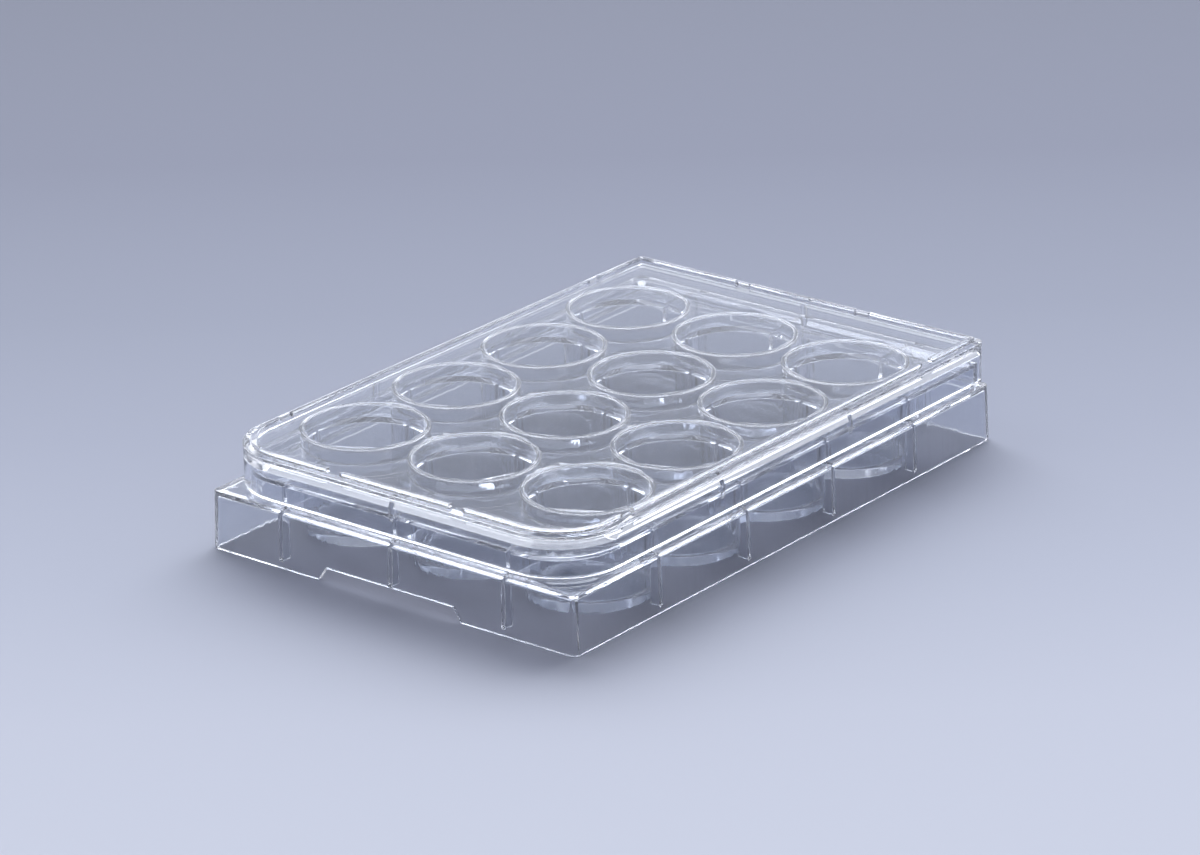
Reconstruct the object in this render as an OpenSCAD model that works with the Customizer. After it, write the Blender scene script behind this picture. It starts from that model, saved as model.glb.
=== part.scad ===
// Twelve-well plate with its lid on, in millimetres.
// The base stands on z = 0 with its middle on the origin: rows of wells run
// along X, the two rounded corners and the notched end are at -X.
// The footprint is made up from the wells outwards, so a change to a well,
// a gap or a margin carries through the skirt, the deck and the lid.

/* [Wells] */
// Number of columns of wells, along X
cols = 4; // [2:1:6]
// Number of rows of wells, along Y
rows = 3; // [1:1:5]
// Inside diameter of a well at its rim
well_d = 22.8; // [14:0.1:32]
// Thickness of a well's wall
well_wall = 0.65; // [0.5:0.05:1.2]
// Narrowest gap between the outer walls of neighbouring wells
well_gap = 1.91; // [1.2:0.01:5]
// Depth of a well, from its rim to its floor
well_depth = 16.5; // [13:0.1:24]
// How much smaller a well's radius is at the foot than at the rim
well_taper = 0.7; // [0:0.05:1.5]
// Thickness of a well's floor
floor_t = 1.5; // [0.8:0.1:3]
// Radius inside a well between its wall and its floor
floor_r = 1.0; // [0.3:0.1:3]
// Space between the bench and the underside of the wells
foot_gap = 0.5; // [0.2:0.1:2]

/* [Base] */
// Space from the end wells' walls to the short sides of the footprint
end_margin = 12.815; // [8:0.005:25]
// Space from the side wells' walls to the long sides of the footprint
side_margin = 4.68; // [3.9:0.01:20]
// Height of the skirt, up to the top of the ledge that the lid hangs over
skirt_h = 11.3; // [8:0.1:14]
// Thickness of the skirt's wall
skirt_t = 1.0; // [0.7:0.05:1.5]
// How far each skirt wall leans in over its height
skirt_draft = 0.45; // [0.1:0.05:1]
// Size of the bevel under the ledge, inside the skirt
skirt_bevel = 0.25; // [0.1:0.05:1.2]
// Outside radius of the skirt's corners at the bench
skirt_r = 1.6; // [1:0.1:4]
// Thickness of the ledge
ledge_t = 1.0; // [0.7:0.05:2]
// Width of the ledge, from the skirt's top edge to the upper wall
ledge_w = 1.88; // [1.5:0.01:3]
// Thickness of the upper wall
wall_t = 1.0; // [0.7:0.05:1.5]
// Outside radius of the upper wall's two rounded corners, at -X
round_r = 11.45; // [4:0.05:14]
// Outside radius of the upper wall's two plain corners, at +X
plain_r = 0.6; // [0.4:0.05:3]
// Thickness of the deck that joins the wells
deck_t = 1.0; // [0.7:0.05:2]
// How far the wells' rims stand above the deck
rim_stand = 2.5; // [1:0.1:4]

/* [Webs and ribs] */
// Thickness of the webs and ribs
web_t = 0.8; // [0.5:0.05:1.2]
// Height of the webs that hang from the deck between the wells
web_h = 4.2; // [2:0.1:8]
// Space between the bench and the foot of a skirt rib
rib_gap = 1.1; // [0.5:0.1:5]
// Height of the notch in the skirt at -X
notch_h = 2.6; // [1:0.1:6]
// Width of the notch along its upper edge
notch_w = 29.8; // [10:0.1:60]
// How far each end of the notch slants out on its way to the bench
notch_slant = 1.7; // [0:0.1:4]

/* [Lid] */
// Clearance between the lid's wall and the base's upper wall
lid_clear = 0.35; // [0.2:0.05:1]
// Thickness of the lid's wall
lid_wall = 1.0; // [0.7:0.05:1.4]
// Thickness of the lid's top plate
lid_t = 1.25; // [0.7:0.05:2]
// Gap between the ledge and the lid's lower edge
lid_gap = 0.9; // [0.3:0.1:3]
// Size of the bevel inside the lid, between its wall and its top plate
lid_bevel = 1.45; // [0.3:0.05:1.8]
// Size of the lead-in bevel inside the lid's lower edge
lid_lead = 0.35; // [0.1:0.05:0.5]
// Height of the ring under the lid over each well's rim
ring_h = 0.2; // [0.1:0.05:1.5]
// Space between each ring and the rim below it
ring_gap = 0.15; // [0.1:0.05:1]
// Height of the stacking ridge on the lid
ridge_h = 0.8; // [0.3:0.05:2]
// Thickness of the stacking ridge
ridge_t = 1.0; // [0.6:0.05:2]
// Distance of the stacking ridge from the lid's edge
ridge_in = 1.5; // [1:0.05:4]
// Length of the gaps in the stacking ridge
ridge_gap = 3.2; // [1:0.1:8]
// Distance of the gaps in the long sides' ridges from the outline's ends
ridge_gap_x = 17.4; // [14:0.1:30]
// Distance of the gaps in the short sides' ridges from the middle
ridge_gap_y = 14.3; // [5:0.1:22]
// Width of the spacer nubs inside the lid's wall
nub_w = 1.0; // [0.5:0.1:2]
// Depth of the spacer nubs, which stand on the deck's edge
nub_d = 1.0; // [0.5:0.05:1.2]
// How far the nubs' thin tails reach below the deck's top
nub_tail = 1.0; // [0.2:0.1:1.6]
// Play between the nubs' tails and the base's upper wall
nub_play = 0.05; // [0.02:0.01:0.15]
// Distance of the long sides' nubs from the middle
nub_x = 19.5; // [8:0.5:30]

/* [Hidden] */
$fn = 96;
// Overshoot of a cutting shape past the face that it cuts
cut = 1;
// Smallest radius left inside a corner
least_r = 0.25;

// Grid of wells
well_r = well_d / 2;
well_ro = well_r + well_wall;
pitch = 2 * well_ro + well_gap;
col_x = [for (i = [0:cols - 1]) (i - (cols - 1) / 2) * pitch];
row_y = [for (j = [0:rows - 1]) (j - (rows - 1) / 2) * pitch];
grid_hx = (cols - 1) / 2 * pitch + well_ro;
grid_hy = (rows - 1) / 2 * pitch + well_ro;

// Heights above the bench
floor_z = foot_gap + floor_t;
rim_z = floor_z + well_depth;
deck_z = rim_z - rim_stand;
web_z = deck_z - deck_t - web_h;
ledge_z = skirt_h - ledge_t;
lid_z = skirt_h + lid_gap;
plate_z = rim_z + ring_gap + ring_h;
lid_top = plate_z + lid_t;

// Half sizes of the footprint, of the skirt at the ledge, of the upper wall,
// of the space inside it and of the lid
foot_hx = grid_hx + end_margin;
foot_hy = grid_hy + side_margin;
top_hx = foot_hx - skirt_draft;
top_hy = foot_hy - skirt_draft;
wall_hx = top_hx - ledge_w;
wall_hy = top_hy - ledge_w;
inner_hx = wall_hx - wall_t;
inner_hy = wall_hy - wall_t;
lid_in_hx = wall_hx + lid_clear;
lid_in_hy = wall_hy + lid_clear;
lid_hx = lid_in_hx + lid_wall;
lid_hy = lid_in_hy + lid_wall;

// Corner radii that follow from a neighbour's
corner_r = max(skirt_r, skirt_t + skirt_draft + least_r);
lid_in_r = round_r + lid_clear;
lid_r = lid_in_r + lid_wall;
lid_plain_in_r = plain_r + lid_clear;
lid_plain_r = lid_plain_in_r + lid_wall;

// Rectangle with half sizes hx and hy, with corners of radius rr at -X
// and of radius rs at +X
module outline(hx, hy, rr, rs) {
    for (s = [-1, 1]) {
        translate([rr - hx, s * (hy - rr)]) circle(r = rr);
        translate([hx - rs, s * (hy - rs)]) circle(r = rs);
    }
    translate([rr - hx, -hy]) square([2 * hx - rr - rs, 2 * hy]);
    translate([-hx, rr - hy]) square([hx, 2 * (hy - rr)]);
    translate([0, rs - hy]) square([hx, 2 * (hy - rs)]);
}

// The same outline drawn in by a distance
module outline_in(hx, hy, rr, rs, inset) {
    outline(hx - inset, hy - inset, max(rr - inset, least_r), max(rs - inset, least_r));
}

// A wall that follows the outline, with its thickness inside it
module outline_wall(hx, hy, rr, rs, t) {
    difference() {
        outline(hx, hy, rr, rs);
        outline_in(hx, hy, rr, rs, t);
    }
}

// A section carried along an outline's sides and round its corners, drawn
// with x = 0 on the outline and x growing outwards
module along_outline(hx, hy, rr, rs) {
    for (m = [0, 1]) mirror([0, m, 0]) {
        translate([0, hy, 0]) rotate(90) rotate([90, 0, 0])
            translate([0, 0, rr - hx]) linear_extrude(2 * hx - rr - rs) children();
        translate([hx - rs, hy - rs, 0]) round_corner(rs) children();
        translate([rr - hx, hy - rr, 0]) rotate(90) round_corner(rr) children();
    }
    translate([hx, hy - rs, 0]) rotate([90, 0, 0]) linear_extrude(2 * (hy - rs)) children();
    translate([-hx, rr - hy, 0]) rotate(180) rotate([90, 0, 0])
        linear_extrude(2 * (hy - rr)) children();
}

// The same section turned round one corner of radius r, as far in as its centre
module round_corner(r) {
    rotate_extrude(angle = 90) intersection() {
        translate([r, 0]) children();
        square([r + skirt_t + lid_wall, lid_top]);
    }
}

// Section of the skirt, leaning in as it rises, with a bevel under the ledge
module skirt_section() {
    bevel_z = ledge_z - skirt_bevel;
    in = skirt_draft + skirt_t;
    polygon([
        [-skirt_t, 0],
        [0, 0],
        [-skirt_draft, skirt_h],
        [-in - skirt_bevel, skirt_h],
        [-in - skirt_bevel, ledge_z],
        [-skirt_t - skirt_draft * bevel_z / skirt_h, bevel_z]
    ]);
}

// The skirt
module skirt() {
    along_outline(foot_hx, foot_hy, corner_r, corner_r) skirt_section();
}

// Ledge between the top of the skirt and the upper wall
module ledge() {
    mid = skirt_draft + skirt_t / 2;
    ledge_r = max(corner_r - mid, least_r);
    translate([0, 0, ledge_z]) linear_extrude(ledge_t) difference() {
        outline(foot_hx - mid, foot_hy - mid, ledge_r, ledge_r);
        outline_in(wall_hx, wall_hy, round_r, plain_r, wall_t);
    }
}

// Upper wall, from the ledge to the deck
module upper_wall() {
    translate([0, 0, ledge_z]) linear_extrude(deck_z - ledge_z)
        outline_wall(wall_hx, wall_hy, round_r, plain_r, wall_t);
}

// Deck across the tops of the webs
module deck() {
    translate([0, 0, deck_z - deck_t]) linear_extrude(deck_t)
        outline(wall_hx, wall_hy, round_r, plain_r);
}

// Webs under the deck, along every row and column of wells
module webs() {
    reach_x = wall_hx - wall_t / 2;
    reach_y = wall_hy - wall_t / 2;
    for (y = row_y)
        translate([-reach_x, y - web_t / 2, web_z]) cube([2 * reach_x, web_t, web_h + deck_t / 2]);
    for (x = col_x)
        translate([x - web_t / 2, -reach_y, web_z]) cube([web_t, 2 * reach_y, web_h + deck_t / 2]);
}

// One rib on the inside of the skirt, at right angles to +X
module rib(half) {
    deep = half - skirt_draft - skirt_t / 2;
    in = half - skirt_draft - ledge_w - wall_t;
    translate([in, -web_t / 2, rib_gap]) cube([deep - in, web_t, ledge_z + ledge_t / 2 - rib_gap]);
}

// Ribs on all four sides of the skirt, in line with the webs
module ribs() {
    for (s = [0, 180]) rotate(s) {
        for (y = row_y) translate([0, y, 0]) rib(foot_hx);
        for (x = col_x) translate([x, 0, 0]) rotate(90) rib(foot_hy);
    }
}

// Outside of a well
module well_outside() {
    translate([0, 0, foot_gap])
        cylinder(h = rim_z - foot_gap, r1 = well_ro - well_taper, r2 = well_ro);
}

// Inside of a well, rounded at its floor and run out past its rim
module well_inside() {
    lean = atan(well_taper / well_depth);
    low_r = well_r - well_taper;
    mid_r = low_r + floor_r * tan(lean) - floor_r / cos(lean);
    grow = well_taper * cut / well_depth;
    translate([0, 0, floor_z]) rotate_extrude() {
        polygon([
            [0, 0],
            [mid_r, 0],
            [mid_r + floor_r * cos(lean), floor_r * (1 - sin(lean))],
            [well_r + grow, well_depth + cut],
            [0, well_depth + cut]
        ]);
        translate([mid_r, floor_r]) circle(r = floor_r);
    }
}

// Notch in the foot of the skirt at -X
module notch() {
    half = notch_w / 2;
    low = half + notch_slant + notch_slant / notch_h * cut;
    deep = skirt_draft + ledge_w + wall_t + cut;
    translate([deep - foot_hx, 0, 0]) rotate([0, -90, 0])
        linear_extrude(deep + cut)
            polygon([[-cut, -low], [notch_h, -half], [notch_h, half], [-cut, low]]);
}

// The base: skirt, ledge, upper wall, deck, webs and wells in one moulding
module plate_base() color([0.80, 0.84, 0.92]) difference() {
    union() {
        skirt();
        ledge();
        upper_wall();
        deck();
        webs();
        ribs();
        for (x = col_x, y = row_y) translate([x, y, 0]) well_outside();
    }
    for (x = col_x, y = row_y) translate([x, y, 0]) well_inside();
    notch();
}

// Rings under the lid, one over each well's rim
module rings() {
    for (x = col_x, y = row_y) translate([x, y, plate_z - ring_h]) difference() {
        cylinder(h = ring_h + lid_t / 2, r = well_ro);
        translate([0, 0, -cut]) cylinder(h = ring_h + cut, r = well_r);
    }
}

// Stacking ridge on the lid, open at eight short gaps
module ridge() {
    gap_x = lid_hx - ridge_gap_x;
    difference() {
        translate([0, 0, lid_top - lid_t / 2]) linear_extrude(ridge_h + lid_t / 2)
            outline_wall(lid_hx - ridge_in, lid_hy - ridge_in, lid_r - ridge_in,
                max(lid_plain_r - ridge_in, least_r), ridge_t);
        for (s = [-1, 1]) {
            translate([s * gap_x - ridge_gap / 2, -lid_hy, lid_top])
                cube([ridge_gap, 2 * lid_hy, ridge_h + cut]);
            translate([-lid_hx, s * ridge_gap_y - ridge_gap / 2, lid_top])
                cube([2 * lid_hx, ridge_gap, ridge_h + cut]);
        }
    }
}

// One spacer nub inside the lid's wall, at right angles to +X: a foot that
// stands on the deck, and a tail that keeps the lid centred on the base
module nub(half) {
    tail_d = lid_clear - nub_play;
    translate([half - nub_d, -nub_w / 2, deck_z])
        cube([nub_d + lid_wall / 2, nub_w, plate_z - deck_z + lid_t / 2]);
    translate([half - tail_d, -nub_w / 2, deck_z - nub_tail])
        cube([tail_d + lid_wall / 2, nub_w, nub_tail + lid_t / 2]);
}

// Spacer nubs, two on each long side and one on each short side
module nubs() {
    for (s = [0, 180]) rotate(s) {
        nub(lid_in_hx);
        for (x = [-nub_x, nub_x]) translate([x, 0, 0]) rotate(90) nub(lid_in_hy);
    }
}

// Section of the lid's wall, from its lead-in bevel to the bevelled top
module lid_section() {
    polygon([
        [lid_lead, lid_z],
        [lid_wall, lid_z],
        [lid_wall, lid_top],
        [-lid_bevel, lid_top],
        [-lid_bevel, plate_z],
        [0, plate_z - lid_bevel],
        [0, lid_z + lid_lead]
    ]);
}

// The lid: a shallow tray in one moulding, standing on its nubs
module lid() color([0.86, 0.90, 0.96]) union() {
    along_outline(lid_in_hx, lid_in_hy, lid_in_r, lid_plain_in_r) lid_section();
    translate([0, 0, plate_z]) linear_extrude(lid_t)
        outline_in(lid_in_hx, lid_in_hy, lid_in_r, lid_plain_in_r, lid_bevel / 2);
    rings();
    ridge();
    nubs();
}

plate_base();
lid();
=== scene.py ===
import math

import bpy
from mathutils import Matrix, Vector

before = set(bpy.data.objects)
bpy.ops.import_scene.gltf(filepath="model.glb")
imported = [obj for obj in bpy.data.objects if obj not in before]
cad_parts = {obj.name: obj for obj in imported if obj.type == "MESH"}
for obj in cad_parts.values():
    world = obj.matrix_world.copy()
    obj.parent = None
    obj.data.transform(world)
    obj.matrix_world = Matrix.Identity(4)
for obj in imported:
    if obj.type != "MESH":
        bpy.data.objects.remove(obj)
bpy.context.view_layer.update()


# The base
#
# One shot of clear polystyrene: skirt, ledge, deck, ribs and twelve wells.
# Polished mould steel leaves it glossy, with slow flow waves. The steel of the
# upright walls was polished lengthwise, which leaves fine streaks up them.

MM = 0.001
# Typical of clear polystyrene with a polished face.
polystyrene = {"Roughness": 0.02, "IOR": 1.59, "Transmission_Weight": 1.0}


def linear(code, brightness=1.0):
    """A colour from its sRGB hex code, as the linear numbers that shaders take."""
    parts = [int(code[i:i + 2], 16) / 255 for i in (0, 2, 4)]
    light = [p / 12.92 if p <= 0.04045 else ((p + 0.055) / 1.055) ** 2.4 for p in parts]
    return [brightness * p for p in light] + [1.0]


def add(tree, kind, settings=None, **links):
    """A new shader node with its settings, and its sockets set to values or joined to outputs."""
    node = tree.nodes.new("ShaderNode" + kind)
    for name, value in (settings or {}).items():
        setattr(node, name, value)
    for name, value in links.items():
        name = name.strip("_").replace("_", " ")
        socket = node.inputs[int(name)] if name.isdigit() else node.inputs[name]
        if isinstance(value, bpy.types.NodeSocket):
            tree.links.new(value, socket)
        else:
            socket.default_value = value
    return node


def new_material(name):
    """An empty node material and its output node."""
    made = bpy.data.materials.new(name)
    made.use_nodes = True
    made.node_tree.nodes.clear()
    return made, made.node_tree.nodes.new("ShaderNodeOutputMaterial")


def cast_light_through(tree, surface, out):
    """Let light reach what lies behind a clear surface, with less of it the more it glances off."""
    square_on, glancing = "FDFDFF", "1C1E24"
    falloff = 2.0
    # The colour sockets of a Mix node share their names with its others, so they go by number.
    glance = add(tree, "LayerWeight", Blend=0.5)
    lost = add(tree, "Math", {"operation": "POWER"}, _0=glance.outputs["Facing"], _1=falloff)
    left = add(tree, "Mix", {"data_type": "RGBA"}, Factor=lost.outputs[0],
               _6=linear(square_on), _7=linear(glancing))
    passing = add(tree, "BsdfTransparent", Color=left.outputs[2])
    ray = add(tree, "LightPath")
    whole = add(tree, "MixShader", Fac=ray.outputs["Is Shadow Ray"], _1=surface, _2=passing.outputs["BSDF"])
    tree.links.new(whole.outputs["Shader"], out.inputs["Surface"])


def streak_walls(tree, place, depth_mm, normal):
    """Bump of streaks about two millimetres apart and much longer, on the upright walls only."""
    streak_mm = 2.2
    squashed_upwards = 0.03
    most_tilt = 0.3
    drawn = add(tree, "Mapping", Vector=place, Scale=(1, 1, squashed_upwards))
    streak = add(tree, "TexNoise", Vector=drawn.outputs["Vector"], Scale=1 / (streak_mm * MM), Detail=3.0)
    facing = add(tree, "SeparateXYZ", Vector=add(tree, "NewGeometry").outputs["True Normal"])
    tilt = add(tree, "Math", {"operation": "ABSOLUTE"}, _0=facing.outputs["Z"])
    upright = add(tree, "Math", {"operation": "LESS_THAN"}, _0=tilt.outputs[0], _1=most_tilt)
    on_walls = add(tree, "Math", {"operation": "MULTIPLY"}, _0=streak.outputs[0], _1=upright.outputs[0])
    return add(tree, "Bump", Strength=1.0, Distance=depth_mm * MM,
               Height=on_walls.outputs[0], Normal=normal)


def clear_polystyrene(name, code, wave_mm, wave_depth_mm, streak_depth_mm=0.0):
    """General-purpose polystyrene, injection moulded: clear, glossy, faintly uneven where it flowed."""
    made, out = new_material(name)
    tree = made.node_tree
    place = add(tree, "TexCoord").outputs["Object"]
    wave = add(tree, "TexNoise", Vector=place, Scale=1 / (wave_mm * MM), Detail=2.0)
    uneven = add(tree, "Bump", Strength=1.0, Distance=wave_depth_mm * MM, Height=wave.outputs[0])
    if streak_depth_mm:
        uneven = streak_walls(tree, place, streak_depth_mm, uneven.outputs["Normal"])
    clear = add(tree, "BsdfPrincipled", Base_Color=linear(code),
                Normal=uneven.outputs["Normal"], **polystyrene)
    cast_light_through(tree, clear.outputs["BSDF"], out)
    return made


def edge_polystyrene(name, code, painted_highlight_share, painted_highlight_code):
    """The same plastic at its rounded edges, with some matt white mixed in as painted highlight, so that
    they show as fine pale lines.
    """
    made, out = new_material(name)
    tree = made.node_tree
    clear = add(tree, "BsdfPrincipled", Base_Color=linear(code), **polystyrene)
    # Matt white, lit and let through: painted highlight standing in for the glints along the rounded edges.
    front = add(tree, "BsdfDiffuse", Color=linear(painted_highlight_code))
    through = add(tree, "BsdfTranslucent", Color=linear(painted_highlight_code))
    painted_white = add(tree, "MixShader", Fac=0.5, _1=front.outputs["BSDF"], _2=through.outputs["BSDF"])
    surface = add(tree, "MixShader", Fac=painted_highlight_share, _1=clear.outputs["BSDF"], _2=painted_white.outputs["Shader"])
    cast_light_through(tree, surface.outputs["Shader"], out)
    return made


def finish_moulding(name, plastic, edge_plastic, edge_mm):
    """Give a moulding its plastic, smooth round faces and slightly rounded edges."""
    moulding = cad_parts[name]
    for slot in moulding.material_slots:
        slot.material = plastic
    moulding.data.materials.append(edge_plastic)
    moulding.data.shade_smooth()
    weld = moulding.modifiers.new("joined", "WELD")
    weld.merge_threshold = 0.001 * MM
    edge = moulding.modifiers.new("soft_edges", "BEVEL")
    edge.width = edge_mm * MM
    edge.segments = 2
    edge.limit_method = "ANGLE"
    edge.angle_limit = math.radians(30)
    edge.use_clamp_overlap = False
    edge.material = len(moulding.data.materials) - 1
    flat = moulding.modifiers.new("flat_faces", "WEIGHTED_NORMAL")
    flat.keep_sharp = True


base_plastic = clear_polystyrene("clear_polystyrene_base", "EDEFF3",
                                 wave_mm=9.0, wave_depth_mm=0.004, streak_depth_mm=0.10)
# The edge plastic's share of matt white is painted highlight along every rounded edge.
edge_plastic = edge_polystyrene("polystyrene_edge_painted_highlight", "F6F8FC", painted_highlight_share=0.12, painted_highlight_code="F2F5FF")
finish_moulding("plate_base", base_plastic, edge_plastic, edge_mm=0.18)


# The lid
#
# A second shot of the same clear polystyrene, a shallow tray that stands loose
# on its six nubs. Its wall hangs down outside the base's upper wall. Its flow
# waves are wider and shallower, and it has no streaks.

lid_plastic = clear_polystyrene("clear_polystyrene_lid", "F3F5F9", wave_mm=12.0, wave_depth_mm=0.002)
finish_moulding("lid", lid_plastic, edge_plastic, edge_mm=0.09)


# The bench
#
# One seamless sheet of pale blue-grey studio paper under and behind the plate.
# It is matt. Its colour darkens steadily with distance from the viewer's side,
# painted shade that stands in for the light falling off across it. It
# lies a hair below the skirt, whose foot then shows as a fine bright line.

scene = bpy.context.scene
view_turn = math.radians(-51.2)
bench_half = 6.0
bench_drop = 0.05 * MM
# Metres from the middle of the plate, away from the viewer, and the paper's colour there, darker further
# away as painted shade.
bench_painted_shade = (
    (-0.160, "D8DCE9"), (-0.100, "CFD3E1"), (-0.040, "BEC3D3"), (0.033, "AAAFC0"),
    (0.100, "999EAF"), (0.200, "85899A"), (0.330, "787C8B"),
)


def shade_along(tree, value, stops):
    """A colour that follows a value through its stops, each a value and the linear colour there."""
    low, high = stops[0][0], stops[-1][0]
    along = add(tree, "MapRange", Value=value, From_Min=low, From_Max=high)
    shade = add(tree, "ValToRGB", Fac=along.outputs["Result"])
    ramp = shade.color_ramp
    while len(ramp.elements) < len(stops):
        ramp.elements.new(0.5)
    for element, (place, colour) in zip(ramp.elements, stops):
        element.position = (place - low) / (high - low)
        element.color = colour
    return shade.outputs["Color"]


bench_mesh = bpy.data.meshes.new("bench")
bench_mesh.from_pydata(
    [(x * bench_half, y * bench_half, 0) for x, y in ((-1, -1), (1, -1), (1, 1), (-1, 1))],
    [], [(0, 1, 2, 3)])
bench = bpy.data.objects.new("bench", bench_mesh)
bench.rotation_euler = (0, 0, view_turn)
bench.location.z = -bench_drop
scene.collection.objects.link(bench)

paper, paper_out = new_material("studio_paper")
tree = paper.node_tree
away = add(tree, "SeparateXYZ", Vector=add(tree, "TexCoord").outputs["Object"])
# The paper's colour carries painted shade: it darkens away from the viewer as the light falls off across
# it.
shade = shade_along(tree, away.outputs["Y"], [(distance, linear(code)) for distance, code in bench_painted_shade])
matt = add(tree, "BsdfPrincipled", Base_Color=shade, Roughness=0.9)
tree.links.new(matt.outputs["BSDF"], paper_out.inputs["Surface"])
bench_mesh.materials.append(paper)


# The light
#
# A large soft box high behind the plate gives the shadow and the white lines
# along the upper edges. Two pale cards light the bevels of the lid. The room's
# walls are bright low down, dim and bluish higher up, and dim on the near side.

# How steeply a direction climbs, as a sine, and the wall's colour and brightness there.
room_shades = (
    (-0.10, "F4F6FC", 1.20), (0.25, "F4F6FC", 1.20), (0.37, "E6EBF8", 0.62),
    (0.55, "C8D2EA", 0.25), (1.00, "C8D2EA", 0.20),
)
near_dim, far_bright = 0.45, 1.10
# Where those two start, as the cosine of the angle from straight behind the plate.
dim_until, bright_from = -0.5, 0.4
lamp_white = "F8FAFF"

room = bpy.data.worlds.new("pale_room")
scene.world = room
room.use_nodes = True
tree = room.node_tree
towards = add(tree, "TexCoord").outputs["Generated"]
height = add(tree, "SeparateXYZ", Vector=towards)
wall = shade_along(tree, height.outputs["Z"],
                   [(climb, linear(code, brightness)) for climb, code, brightness in room_shades])
behind = (-math.sin(view_turn), math.cos(view_turn), 0.0)
facing = add(tree, "VectorMath", {"operation": "DOT_PRODUCT"}, _0=towards, _1=behind)
dimmer = add(tree, "MapRange", Value=facing.outputs["Value"], From_Min=dim_until, From_Max=bright_from,
             To_Min=near_dim, To_Max=far_bright)
backing = tree.nodes["Background"]
tree.links.new(wall, backing.inputs["Color"])
tree.links.new(dimmer.outputs["Result"], backing.inputs["Strength"])


def soft_box(name, width, depth, place, brightness):
    """A soft box that faces the plate, its face as bright as that many whites.

    Its place is in metres to the viewer's right, away from the viewer and up.
    """
    lamp = bpy.data.lights.new(name, "AREA")
    lamp.shape = "RECTANGLE"
    lamp.size = width
    lamp.size_y = depth
    lamp.color = linear(lamp_white)[:3]
    lamp.energy = brightness * math.pi * width * depth
    hung = bpy.data.objects.new(name, lamp)
    hung.location = Matrix.Rotation(view_turn, 4, "Z") @ Vector(place)
    hung.rotation_euler = hung.location.to_track_quat("Z", "Y").to_euler()
    scene.collection.objects.link(hung)


soft_box("high_soft_box", 1.9, 0.9, (0.10, 1.02, 0.97), 5.4)
soft_box("right_card", 0.8, 0.7, (1.10, 0.50, 0.85), 0.5)
soft_box("left_card", 0.8, 0.7, (-1.00, 0.12, 1.05), 1.0)

# Light crosses many clear walls on its way through the plate and lid.
clear_walls = 32
scene.cycles.max_bounces = clear_walls
scene.cycles.transmission_bounces = clear_walls
scene.cycles.glossy_bounces = clear_walls
scene.cycles.transparent_max_bounces = clear_walls
scene.cycles.caustics_reflective = False
scene.cycles.caustics_refractive = False


# The camera
#
# A long lens looks down on the corner where the notched end and a long side
# meet, a little under a metre from the middle of the plate.

aim = Vector((4.7, 6.0, 10.0)) * MM
reach = 936.8 * MM
rise = math.radians(21.39)
roll = math.radians(-1.19)
lens = bpy.data.cameras.new("camera")
lens.lens = 149.57
lens.sensor_width = 36.0
lens.clip_start = 0.05
camera = bpy.data.objects.new("camera", lens)
turned = Matrix.Rotation(view_turn, 4, "Z") @ Matrix.Rotation(math.pi / 2 - rise, 4, "X")
backed_off = Matrix.Translation((0, 0, reach))
camera.matrix_world = Matrix.Translation(aim) @ turned @ backed_off @ Matrix.Rotation(roll, 4, "Z")
scene.collection.objects.link(camera)
scene.camera = camera
scene.view_settings.view_transform = "Standard"
